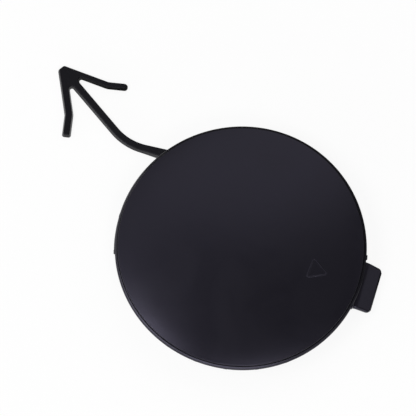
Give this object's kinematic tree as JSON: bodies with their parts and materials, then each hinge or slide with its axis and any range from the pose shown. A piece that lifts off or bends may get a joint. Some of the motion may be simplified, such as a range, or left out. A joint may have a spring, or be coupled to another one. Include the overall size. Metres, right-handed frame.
{
  "type": "bumper tow hook cover",
  "caption": "Round domed black plastic cover for a bumper's towing eye hole, with rear skirt, snap latch, tongue and a captive tether ending in a barbed anchor.",
  "frame": {"origin": "centre of the bounding box in plan, on the plane of the skirt's foot", "axes": "+Z out of the domed face; the tongue points 16 degrees clockwise from +X, seen from the face, and the tether leaves between -X and +Y; the axis of the round face stands at x 6.63 mm, y -11.35 mm"},
  "size_m": [0.1028, 0.1026, 0.0161],
  "materials": {
    "black_plastic": "satin"
  },
  "bodies": {
    "root": {"tow_hook_cover": "black_plastic"}
  },
  "joints": []
}
